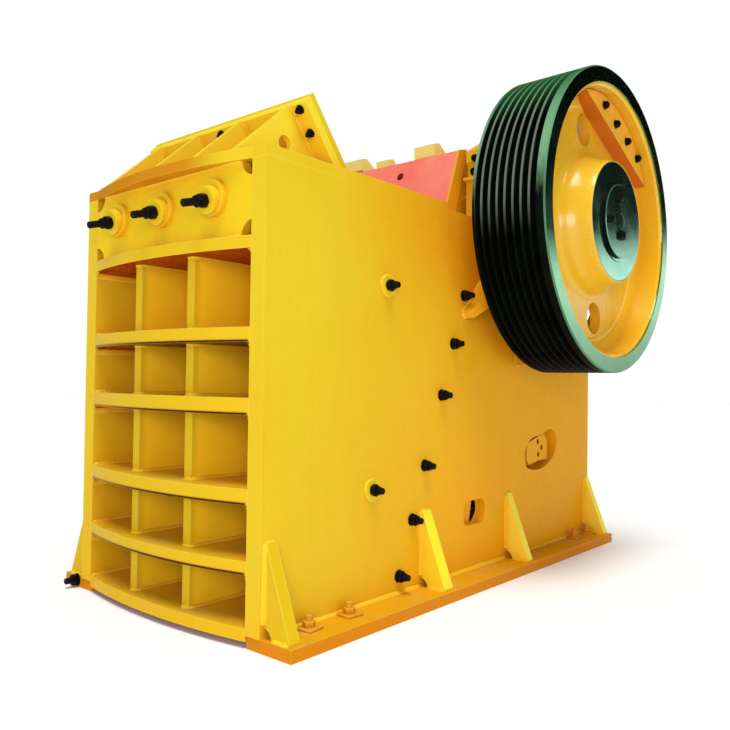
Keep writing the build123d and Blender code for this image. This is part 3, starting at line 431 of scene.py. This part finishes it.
# white behind the object; soft even light; a room with pale walls and a dark ceiling in the reflections
world = bpy.data.worlds.new("world")
bpy.context.scene.world = world
world.use_nodes = True
wt = world.node_tree
wb = wt.nodes["Background"]
world.cycles.sampling_method = "NONE"
wb.inputs["Color"].default_value = (1, 1, 1, 1)
wc = wt.nodes.new("ShaderNodeTexCoord")
wd = wt.nodes.new("ShaderNodeSeparateXYZ")
wt.links.new(wc.outputs["Generated"], wd.inputs[0])
wr = wt.nodes.new("ShaderNodeValToRGB")
wt.links.new(wd.outputs[2], wr.inputs["Fac"])
stops = ((0.0, 0.42), (0.04, 0.58), (0.09, 0.96), (0.145, 1.0), (0.168, 0.50), (0.190, 0.01), (0.30, 0.0))
while len(wr.color_ramp.elements) < len(stops):
    wr.color_ramp.elements.new(0.5)
for k, (at, v) in enumerate(stops):
    wr.color_ramp.elements[k].position = at
    wr.color_ramp.elements[k].color = (v, v, v, 1)
wg = wt.nodes.new("ShaderNodeMath")
wg.operation = "MULTIPLY"
wg.inputs[1].default_value = 1.5
wt.links.new(wr.outputs["Color"], wg.inputs[0])
lp = wt.nodes.new("ShaderNodeLightPath")


def world_mix(fac, a, b):
    n = wt.nodes.new("ShaderNodeMix")
    n.data_type = "FLOAT"
    wt.links.new(fac, n.inputs[0])
    for sock, v in ((n.inputs[2], a), (n.inputs[3], b)):
        if isinstance(v, float):
            sock.default_value = v
        else:
            wt.links.new(v, sock)
    return n.outputs[0]


wt.links.new(world_mix(lp.outputs["Is Camera Ray"], world_mix(lp.outputs["Is Glossy Ray"], 0.42, wg.outputs[0]), 1.02), wb.inputs["Strength"])


def aim(o, loc, target):
    o.location = loc
    o.rotation_euler = (Vector(target) - Vector(loc)).to_track_quat("-Z", "Y").to_euler()
    bpy.context.scene.collection.objects.link(o)


sun = bpy.data.lights.new("key", "SUN")
sun.energy = 2.25
sun.angle = math.radians(28)
aim(bpy.data.objects.new("key", sun), (-2.3, -2.0, 9.0), (0, 0, 0))
fill = bpy.data.lights.new("fill", "AREA")
fill.shape = "RECTANGLE"
fill.size, fill.size_y = 3.2, 2.2
fill.energy = 215
aim(bpy.data.objects.new("fill", fill), (-6.6, -5.4, 2.3), (-0.2, -0.3, 1.2))

# ---------------------------------------------------------------------------
# mesh helpers: everything is in metres in the row frame
# ---------------------------------------------------------------------------

def P(x, y, z):
    """x is measured behind the front edge of the side plates; all three in millimetres."""
    return Vector((XF + x / 1000.0, y / 1000.0, z / 1000.0))


class Build:
    def __init__(self):
        self.v, self.f = [], []

    def add(self, verts, faces):
        n = len(self.v)
        self.v += [tuple(p) for p in verts]
        self.f += [tuple(n + i for i in f) for f in faces]

    def loft(self, rings, closed=True):
        """Rings of equal length, first and last capped."""
        n = len(rings[0])
        faces = []
        for k in range(len(rings) - 1):
            for i in range(n):
                j = (i + 1) % n
                faces.append((k * n + i, k * n + j, (k + 1) * n + j, (k + 1) * n + i))
        if closed:
            faces.append(tuple(range(n - 1, -1, -1)))
            faces.append(tuple((len(rings) - 1) * n + i for i in range(n)))
        self.add([p for r in rings for p in r], faces)

    def make(self, name, mat, body, slot, angle=38.0):
        me = bpy.data.meshes.new(name)
        me.from_pydata(self.v, [], self.f)
        bm = bmesh.new()
        bm.from_mesh(me)
        bmesh.ops.recalc_face_normals(bm, faces=bm.faces)
        bm.to_mesh(me)
        bm.free()
        me.polygons.foreach_set("use_smooth", [True] * len(me.polygons))
        me.set_sharp_from_angle(angle=math.radians(angle))
        me.update()
        o = bpy.data.objects.new(name, me)
        bpy.context.scene.collection.objects.link(o)
        me.materials.append(MAT[mat])
        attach(o, body)
        return o


def basis(axis, hint=Vector((0, 0, 1))):
    w = Vector(axis).normalized()
    if abs(w.dot(hint)) > 0.95:
        hint = Vector((1, 0, 0))
    u = hint.cross(w).normalized()
    return u, w.cross(u).normalized(), w


def turned(b, origin, axis, levels, n=28, phase=0.0):
    """Closed solid of revolution: levels of (distance along axis, radius), in metres."""
    u, v, w = basis(axis)
    rings = []
    for h, r in levels:
        rings.append([origin + w * h + (u * math.cos(phase + 2 * math.pi * i / n) + v * math.sin(phase + 2 * math.pi * i / n)) * r for i in range(n)])
    b.loft(rings)


def hex_nut(b, origin, axis, af, h, phase=0.0, chamfer_low=True):
    """Hexagon nut or head with the usual turned chamfers."""
    u, v, w = basis(axis)
    n = 36
    r_in = af / 2
    r_c = r_in / math.cos(math.pi / 6)
    lim = [(0.0, r_in * 0.97 if chamfer_low else r_c), (0.05 * af, r_c * 0.99 if chamfer_low else r_c), (h - 0.09 * af, r_c), (h - 0.035 * af, r_in * 1.05), (h, r_in * 0.95), (h, r_in * 0.60)]
    rings = []
    for z, cap in lim:
        ring = []
        for i in range(n):
            a = 2 * math.pi * i / n
            k = (a + math.pi / 6) % (math.pi / 3) - math.pi / 6
            r = min(r_in / math.cos(k), cap)
            ring.append(origin + w * z + (u * math.cos(a + phase) + v * math.sin(a + phase)) * r)
        rings.append(ring)
    b.loft(rings)


def stud(b, origin, axis, d, length, pitch=0.005, start=0.0, n=20):
    """Threaded end with a small chamfer."""
    r = d / 2
    lv = [(start, r * 0.5), (start, r)]
    z = start
    while z + pitch < length - 0.004:
        lv += [(z + pitch * 0.45, r), (z + pitch * 0.72, r - pitch * 0.42), (z + pitch, r)]
        z += pitch
    lv += [(length - 0.003, r), (length, r * 0.82), (length, r * 0.3)]
    turned(b, origin, axis, lv, n)


def washer(b, origin, axis, r, t, n=36):
    turned(b, origin, axis, [(0, r * 0.4), (0, r), (t * 0.75, r), (t, r - t * 0.25), (t, r * 0.4)], n)


def block(b, origin, axes, size, bevel=0.003):
    """Box with bevelled edges; origin is its middle, axes three unit vectors, size three lengths."""
    bm = bmesh.new()
    bmesh.ops.create_cube(bm, size=1.0)
    for vert in bm.verts:
        vert.co = Vector((vert.co.x * size[0], vert.co.y * size[1], vert.co.z * size[2]))
    bmesh.ops.bevel(bm, geom=list(bm.edges), offset=bevel, segments=2, profile=0.6, affect="EDGES")
    bm.verts.index_update()
    verts = [origin + axes[0] * q.co.x + axes[1] * q.co.y + axes[2] * q.co.z for q in bm.verts]
    b.add(verts, [tuple(q.index for q in f.verts) for f in bm.faces])
    bm.free()


def bead(b, path, n1, n2, size, seed=0, step=0.010, ripple=0.11):
    """Fillet weld along a path. n1 and n2 point away from the corner, along its two faces (vectors or functions of the path parameter)."""
    rnd = random.Random(seed)
    pts = [Vector(p) for p in path]
    lens = [(pts[i + 1] - pts[i]).length for i in range(len(pts) - 1)]
    total = sum(lens)
    count = max(4, int(total / step))
    rings = []
    ph = rnd.random() * 6
    for k in range(count + 1):
        s = total * k / count
        i, q = 0, s
        while i < len(lens) - 1 and q > lens[i]:
            q -= lens[i]
            i += 1
        base = pts[i].lerp(pts[i + 1], min(1.0, q / lens[i]))
        a = n1(k / count) if callable(n1) else n1
        c = n2(k / count) if callable(n2) else n2
        wob = 1.0 + ripple * 0.5 * math.sin(ph + k * 2.1) + ripple * (rnd.random() - 0.5) + 0.12 * math.sin(s * 9.0 + ph)
        ends = min(1.0, 0.35 + 3.0 * min(k, count - k) / count * total / 0.05) if total > 0.05 else 1.0
        z = size * wob * ends
        mid = 0.60 * z
        sink = 0.0015
        rings.append([base - a * sink - c * sink, base + a * z - c * sink, base + a * z * 0.86 + c * z * 0.26, base + a * mid + c * mid,
                      base + a * z * 0.26 + c * z * 0.86, base + c * z - a * sink])
    b.loft(rings)


X, Y, Z = Vector((1, 0, 0)), Vector((0, 1, 0)), Vector((0, 0, 1))

# ---------------------------------------------------------------------------
# materials of the CAD pieces
# ---------------------------------------------------------------------------
look = {n: "plate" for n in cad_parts}
for n in ("bearing_cap_near", "bearing_cap_far", "bearing_block_near", "bearing_block_far", "moving_jaw_body", "toggle_beam", "toggle_plate",
          "jaw_toe_lugs"):
    look[n] = "cast"
look["bearing_cap_near"] = look["bearing_cap_far"] = "cap"
for n in ("front_shelf_1", "front_shelf_2", "front_shelf_3", "front_shelf_4", "front_shelf_top", "front_bottom_plate"):
    look[n] = "shelf"
look["front_shelf_top"] = "shelftop"
for n in ("front_wall_plate", "partitions_near", "partitions_far"):
    look[n] = "cell"
look.update({"base_flange_near": "feet", "base_flange_far": "feet", "base_gussets_near": "gusset", "base_gussets_far": "gusset", "feed_guard_gussets": "guard", "feed_guard_plate": "guard", "front_panel": "panel",
             "panel_bosses": "panel", "front_top_plate": "topplate", "jaw_guard_blocks": "pale",
             "fixed_jaw_liner": "liner", "moving_jaw_liner": "liner", "cheek_liner_near": "cheek", "cheek_liner_far": "cheek", "jaw_guard_plate": "salmon",
             "sheave_rim": "rim", "flywheel_rim": "rim", "sheave_hub_cover": "cover", "flywheel_hub_cover": "cover", "sheave_web": "web", "flywheel_web": "web",
             "sheave_counterweight": "weight", "flywheel_counterweight": "weight", "eccentric_shaft": "shaft", "tension_rods": "shaft", "tension_springs": "spring"})
for n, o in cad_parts.items():
    o.data.materials.clear()
    o.data.materials.append(MAT[look[n]])

# ---------------------------------------------------------------------------
# fasteners
# ---------------------------------------------------------------------------
SIDE_BOLTS = [(1550, 1671, 0), (1445, 1385, 0), (1332, 1092, 0), (1179, 710, 0), (1070, 430, 0), (961, 151, 0), (838, 1657, 1), (732, 623, 1)]
for side, s in (("near", -1), ("far", 1)):
    nuts, discs = Build(), Build()
    out = Y * s
    for i, (x, z, disc) in enumerate(SIDE_BOLTS):
        p = P(x, s * 730, z)
        if disc:
            washer(discs, p, out, 0.060, 0.012)
            p = p + out * 0.012
        else:
            washer(nuts, p, out, 0.033, 0.005)
            p = p + out * 0.005
        hex_nut(nuts, p, out, 0.054, 0.027, phase=0.3 + i * 0.7)
        hex_nut(nuts, p + out * 0.0275, out, 0.041, 0.016, phase=0.9 + i * 0.5)
        stud(nuts, p, out, 0.033, 0.066, pitch=0.004, start=0.04)
    nuts.make("side_bolts_" + side, "black", "frame", "black_steel")
    discs.make("side_bolt_discs_" + side, "disc", "frame", "yellow_paint")

b = Build()
slope = math.radians(16.0)
ax = Vector((-math.cos(slope), 0, -math.sin(slope)))
for i, y in enumerate((-384, 14, 412)):
    p = P(2, y, 1994) + ax * 0.062
    hex_nut(b, p, ax, 0.059, 0.034, phase=0.2 + i)
    hex_nut(b, p + ax * 0.0345, ax, 0.052, 0.022, phase=0.7 + i)
    stud(b, p, ax, 0.036, 0.127, pitch=0.004, start=0.05)
b.make("boss_nuts", "black", "frame", "black_steel")

b = Build()
g_out = Vector((-0.794, 0, -0.607))
for y in (-588, 0, 588):
    for x, z in ((338, 2458), (410, 2363)):
        p = P(x, y, z)
        washer(b, p, g_out, 0.022, 0.003)
        hex_nut(b, p + g_out * 0.003, g_out, 0.033, 0.017, phase=x * 0.01)
        stud(b, p, g_out, 0.020, 0.036, pitch=0.003, start=0.015, n=16)
b.make("feed_guard_nuts", "black", "frame", "black_steel")

# countersunk bolt heads on the chamber side of the feed guard
b = Build()
g_in = Vector((0.781, 0, 0.624))
for y in (-588, 0, 588):
    for t in (0.155, 0.44):
        p = P(371 + t * 279, y, 2536 - t * 349)
        turned(b, p - g_in * 0.002, g_in, [(0, 0.010), (0, 0.026), (0.006, 0.026), (0.010, 0.021), (0.011, 0.010)], 24)
b.make("feed_guard_heads", "black", "frame", "black_steel")

# anchor bolts on square washers, painted over and dirty
for side, s in (("near", -1), ("far", 1)):
    b = Build()
    for i, x in enumerate((-1450, -1180, 1240, 1450)):
        p = Vector((x / 1000.0, s * 0.780, 0.060))
        tw = math.radians((7, -5, 4, -9)[i])
        u = Vector((math.cos(tw), math.sin(tw), 0))
        block(b, p + Z * 0.005, (u, Z.cross(u), Z), (0.098, 0.098, 0.010), 0.003)
        hex_nut(b, p + Z * 0.010, Z, 0.052, 0.028, phase=0.4 + i)
        stud(b, p, Z, 0.033, 0.064, pitch=0.004, start=0.035)
    b.make("anchor_bolts_" + side, "stain", "frame", "yellow_paint")
# one black bolt through the front end of the far foot
b = Build()
p = P(10, 795, 40)
washer(b, p, -X, 0.034, 0.005)
hex_nut(b, p - X * 0.005, -X, 0.056, 0.030, phase=0.5)
stud(b, p, -X, 0.034, 0.072, pitch=0.004, start=0.03)
b.make("foot_end_bolt", "black", "frame", "black_steel")

# bolts on the front of the bearing caps
for side, s in (("near", -1), ("far", 1)):
    b = Build()
    for x, y, z in ((1722, 688, 2446), (1702, 707, 2520), (1722, 852, 2446), (1702, 834, 2520)):
        p = P(x, s * y, z)
        washer(b, p, -X, 0.024, 0.004)
        hex_nut(b, p - X * 0.004, -X, 0.038, 0.022, phase=0.4)
        stud(b, p, -X, 0.022, 0.038, pitch=0.003, start=0.02, n=16)
    b.make("cap_bolts_" + side, "black", "frame", "black_steel")

# one dark bolt on the guard plate
kd = Vector((135, 0, 380)).normalized()
kn = Vector((kd.z, 0, -kd.x))
b = Build()
p = P(1550, -171, 2206) + kd * 0.297
turned(b, p + kn * 0.004, -kn, [(0, 0.006), (0, 0.025), (0.006, 0.0245), (0.010, 0.018), (0.0092, 0.004)], 28)
b.make("jaw_guard_bolt", "redbolt", "jaw", "black_steel")

# sheave and flywheel: counterweight bolts, keys on the end plate, turned centre
CW = [(18, 722), (188, 652), (364, 587), (535, 517)]
KEYS = [(-153, -9, 12), (2, -84, -4), (-43, 130, 30)]
for wheel, s in (("sheave", -1), ("flywheel", 1)):
    out = Y * s
    b = Build()
    for i, (dx, dz) in enumerate(CW):
        p = Vector((XS + dx / 1000.0, s * 1.300, ZS + dz / 1000.0))
        washer(b, p, out, 0.026, 0.004)
        hex_nut(b, p + out * 0.004, out, 0.042, 0.020, phase=i)
        turned(b, p, out, [(0.022, 0.006), (0.022, 0.012), (0.030, 0.012), (0.032, 0.009), (0.032, 0.004)], 16)
    for dx, dz, deg in KEYS:
        p = Vector((XS + dx / 1000.0, s * 1.415, ZS + dz / 1000.0))
        a = math.radians(deg)
        u = Vector((math.cos(a), 0, math.sin(a)))
        block(b, p + out * 0.009, (u, out, u.cross(out)), (0.052, 0.022, 0.048), 0.003)
        turned(b, p, out, [(0.018, 0.006), (0.018, 0.014), (0.024, 0.014), (0.026, 0.011), (0.026, 0.004)], 16)
    b.make(wheel + "_bolts", "black", "rotor", "black_steel")
    b = Build()
    c0 = Vector((XS, s * 1.415, ZS))
    turned(b, c0, out, [(-0.001, 0.010), (-0.001, 0.062), (0.003, 0.060), (0.003, 0.046), (0.0008, 0.044), (0.0008, 0.020), (0.004, 0.018), (0.004, 0.008)], 48)
    turned(b, c0 - out * 0.024, out, [(-0.001, 0.222), (-0.001, 0.238), (0.004, 0.236), (0.004, 0.224)], 96)
    b.make(wheel + "_cover_rings", "cover", "rotor", "dark_green_paint")

# dark bolts sunk in the ends of the toggle beam
for side, s in (("near", -1), ("far", 1)):
    b = Build()
    for x, z in ((2534, 765), (2588, 722), (2541, 678)):
        turned(b, P(x, s * 690, z), Y * s, [(0, 0.004), (0, 0.0178), (0.004, 0.0178), (0.006, 0.014), (0.0035, 0.010), (0.0035, 0.004)], 20)
    b.make("beam_bolts_" + side, "black", "frame", "black_steel")

# labyrinth rings between the bearing blocks and the wheels
for side, s in (("near", -1), ("far", 1)):
    out = Y * s
    b = Build()
    c0 = Vector((XS, s * 0.900, ZS))
    turned(b, c0, out, [(0, 0.152), (0, 0.300), (0.014, 0.300), (0.018, 0.296), (0.018, 0.205), (0.026, 0.202), (0.026, 0.152)], 72)
    for k in range(12):
        a = math.radians(15 + 30 * k)
        p = c0 + Vector((math.cos(a), 0, math.sin(a))) * 0.262 + out * 0.018
        hex_nut(b, p, out, 0.030, 0.012, phase=k)
    b.make("labyrinth_ring_" + side, "cast", "frame", "yellow_paint")

# ---------------------------------------------------------------------------
# coiled springs, seats and nuts on the tension rods, in place of the plain tubes
# ---------------------------------------------------------------------------
b = Build()
for y in (-250, 250):
    c0 = P(2950, y, 290)
    turned(b, c0, X, [(0, 0.060), (0, 0.094), (0.022, 0.094), (0.026, 0.090), (0.026, 0.055), (0.045, 0.055), (0.045, 0.030), (0.0, 0.030)], 40)
    n, turns, r, w = 26, 7.0, 0.0725, 0.0122
    x0, x1 = 0.036, 0.548
    rings = []
    steps = int(turns * 28)
    for k in range(steps + 1):
        t = k / steps
        # end coils lie flat
        e = (t * turns)
        q = max(0.0, min(1.0, (t * turns - 0.75) / (turns - 1.5)))
        a = 2 * math.pi * e
        cx = x0 + w + (x1 - x0 - 2 * w) * q
        rad = Vector((0, math.cos(a), math.sin(a)))
        mid = c0 + X * cx + rad * r
        rings.append([mid + rad * (w * math.cos(2 * math.pi * i / 10)) + X * (w * math.sin(2 * math.pi * i / 10)) for i in range(10)])
    b.loft(rings)
    end = c0 + X * 0.560
    turned(b, end, X, [(-0.014, 0.0285), (-0.014, 0.056), (0, 0.056), (0, 0.095), (0.036, 0.095), (0.040, 0.091), (0.040, 0.0285)], 40)
springs = b.make("coiled_springs", "spring", "frame", "black_steel")
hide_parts("tension_springs")
b = Build()
for y in (-250, 250):
    p = P(3550, y, 290)
    hex_nut(b, p, X, 0.085, 0.030, phase=0.2)
    stud(b, p, X, 0.0562, 0.060, start=0.03)
b.make("tension_nuts", "black", "frame", "black_steel")

# ---------------------------------------------------------------------------
# weld beads
# ---------------------------------------------------------------------------
SHELVES = [(32, 89, 60), (317, 377, 85), (619, 690, 85), (1011, 1086, 85), (1331, 1398, 85), (1744, 1800, 85)]
for side, s in (("near", -1), ("far", 1)):
    out = Y * s
    b = Build()
    seed = 100 if s < 0 else 200
    # side plate on the foot flange, in the bays between the gussets
    gus = [(26, 62), (1152, 80), (2058, 58), (3203, 60)]
    for i in range(3):
        bead(b, [P(gus[i][0] + gus[i][1] + 4, s * 730, 60), P(gus[i + 1][0] - 4, s * 730, 60)], out, Z, 0.016, seed + i)
    for i, (gx, t) in enumerate(gus):
        for xx, d in ((gx, -1), (gx + t, 1)):
            if d > 0 and i == 3:
                continue
            bead(b, [P(xx, s * 730, 114), P(xx, s * 730, 466)], X * d, out, 0.018 if d < 0 else 0.014, seed + 10 + i * 2 + d)
            bead(b, [P(xx, s * 782, 60), P(xx, s * 884, 60)], X * d, Z, 0.015, seed + 30 + i * 2 + d)
    # round the end of each gusset top
    for i, (gx, t) in enumerate(gus):
        bead(b, [P(gx + 4, s * 730, 468), P(gx + t - 4, s * 730, 468)], Z, out, 0.010, seed + 50 + i)
    # bearing block on the side plate, round its lower half
    c0 = Vector((XS, s * 0.730, ZS))
    arc = [c0 + Vector((math.cos(math.radians(a)), 0, math.sin(math.radians(a)))) * 0.440 for a in range(183, 358, 3)]
    rad = lambda t: Vector((math.cos(math.radians(183 + 174 * t)), 0, math.sin(math.radians(183 + 174 * t))))
    bead(b, arc, rad, out, 0.016, seed + 60)
    # ribs under the housing
    for k, (ex, ez, deg) in enumerate(((1548, 1556, 44.6), (2177, 1277, 90), (2806, 1556, 135.4))):
        a = math.radians(deg)
        u = Vector((math.cos(a), 0, math.sin(a)))
        v = Vector((-math.sin(a), 0, math.cos(a)))
        foot = P(ex, s * 730, ez)
        for e in (-1, 1):
            bead(b, [foot + u * 0.002 + v * 0.023 * e, foot + u * 0.394 + v * 0.023 * e], v * e, out, 0.012, seed + 70 + k * 2 + e)
        bead(b, [foot - v * 0.020, foot + v * 0.020], -u, out, 0.012, seed + 80 + k)
    # bearing cap on the top of the side plate
    bead(b, [P(1704, s * 648, 2150), P(1704, s * 722, 2150)], -X, Z, 0.010, seed + 90)
    # top plate on the side plate, outside
    bead(b, [P(500, s * 724, 2137), P(500, s * 724, 2185)], X, out, 0.006, seed + 91)
    b.make("welds_side_" + side, "weld", "frame", "yellow_paint")

    # inside the cells, along the side plate and the partition
    b = Build()
    inn = -out
    yp = -203 if s < 0 else 234
    for i in range(5):
        z0, z1 = SHELVES[i][1], SHELVES[i + 1][0]
        bead(b, [P(6, s * 640, z0), P(448, s * 640, z0)], inn, Z, 0.013, seed + 300 + i)
        bead(b, [P(449, s * 640, z0), P(449, s * 640, z1)], inn, -X, 0.013, seed + 315 + i)
        for e in (-1, 1):
            yy = yp + e * 27.5
            bead(b, [P(6, yy, z0), P(448, yy, z0)], Y * e, Z, 0.014, seed + 320 + i * 2 + e, )
            bead(b, [P(8, yy, z1), P(448, yy, z1)], Y * e, -Z, 0.013, seed + 340 + i * 2 + e, )
            bead(b, [P(449, yy, z0), P(449, yy, z1)], Y * e, -X, 0.012, seed + 360 + i * 2 + e)
        # foot and head of the partition's front edge
        bead(b, [P(8, yp - 27, z0), P(8, yp + 27, z0)], -X, Z, 0.015, seed + 380 + i)
        bead(b, [P(8, yp - 27, z1), P(8, yp + 27, z1)], -X, -Z, 0.012, seed + 390 + i)
    b.make("welds_cells_" + side, "weld", "frame", "yellow_paint")

    # corner fillets under the shelves take the top-shelf paint, so their downward part gets the painted shade
    b = Build()
    for i in range(5):
        z1 = SHELVES[i + 1][0]
        rings = []
        for x in (56, 90, 150, 230, 310, 390, 449.5):
            k = 39.5 + 0.5 * math.sin(x * 0.021 + i)
            arc = [P(x, s * (640 - k + k * math.cos(math.radians(a))), z1 - k + k * math.sin(math.radians(a))) for a in range(0, 91, 10)]
            rings.append([P(x, s * 641, z1 + 1)] + arc)
        b.loft(rings)
    b.make("cell_corners_" + side, "shelftop", "frame", "yellow_paint")

b = Build()
for k, gy in enumerate((-525, -175, 175, 525)):
    for e in (-1, 1):
        yy = gy + e * 15
        bead(b, [P(-14, yy, 2187), P(541, yy, 2187)], Y * e, Z, 0.010, 500 + k * 2 + e)
        bead(b, [P(541, yy, 2192), P(325, yy, 2475)], Y * e, g_out, 0.010, 520 + k * 2 + e)
# guard on the top plate, chamber side
bead(b, [P(650, -632, 2187), P(650, 632, 2187)], X, Z, 0.0125, 540)
# panel under the top plate and on the top shelf
bead(b, [P(2, -565, 2137), P(2, 565, 2137)], -X, -Z, 0.013, 541)
bead(b, [P(2, -565, 1800), P(2, 565, 1800)], -X, Z, 0.014, 542)
b.make("welds_front", "weld", "frame", "yellow_paint")

b = Build()
for z in (500, 960, 1400):
    bead(b, [P(2950, -600, z), P(2950, 600, z)], X, -Z, 0.016, 600 + z)
    bead(b, [P(2950, -600, z + 60), P(2950, 600, z + 60)], X, Z, 0.016, 601 + z)
    for e in (-1, 1):
        bead(b, [P(2956, e * 640, z + 60), P(3226, e * 640, z + 60)], -Y * e, Z, 0.014, 610 + z + e)
for e in (-1, 1):
    bead(b, [P(2950, e * 640, 66), P(2950, e * 640, 496)], X, -Y * e, 0.016, 640 + e)
    bead(b, [P(2950, e * 640, 564), P(2950, e * 640, 956)], X, -Y * e, 0.016, 643 + e)
    bead(b, [P(2950, e * 640, 1024), P(2950, e * 640, 1396)], X, -Y * e, 0.016, 646 + e)
    bead(b, [P(2950, e * 640, 1464), P(2950, e * 640, 1695)], X, -Y * e, 0.016, 649 + e)
b.make("welds_rear", "weld", "frame", "yellow_paint")

b = Build()
for e in (-1, 1):
    # brackets of the jaw guard: inner corner with the plate
    p0 = P(1550, e * 545, 2206) + kn * 0.030 + kd * 0.120
    p1 = P(1550, e * 545, 2206) + kn * 0.030 + kd * 0.365
    bead(b, [p0, p1], -Y * e, kn, 0.011, 700 + e)
b.make("welds_jaw_guard", "weld", "jaw", "yellow_paint")
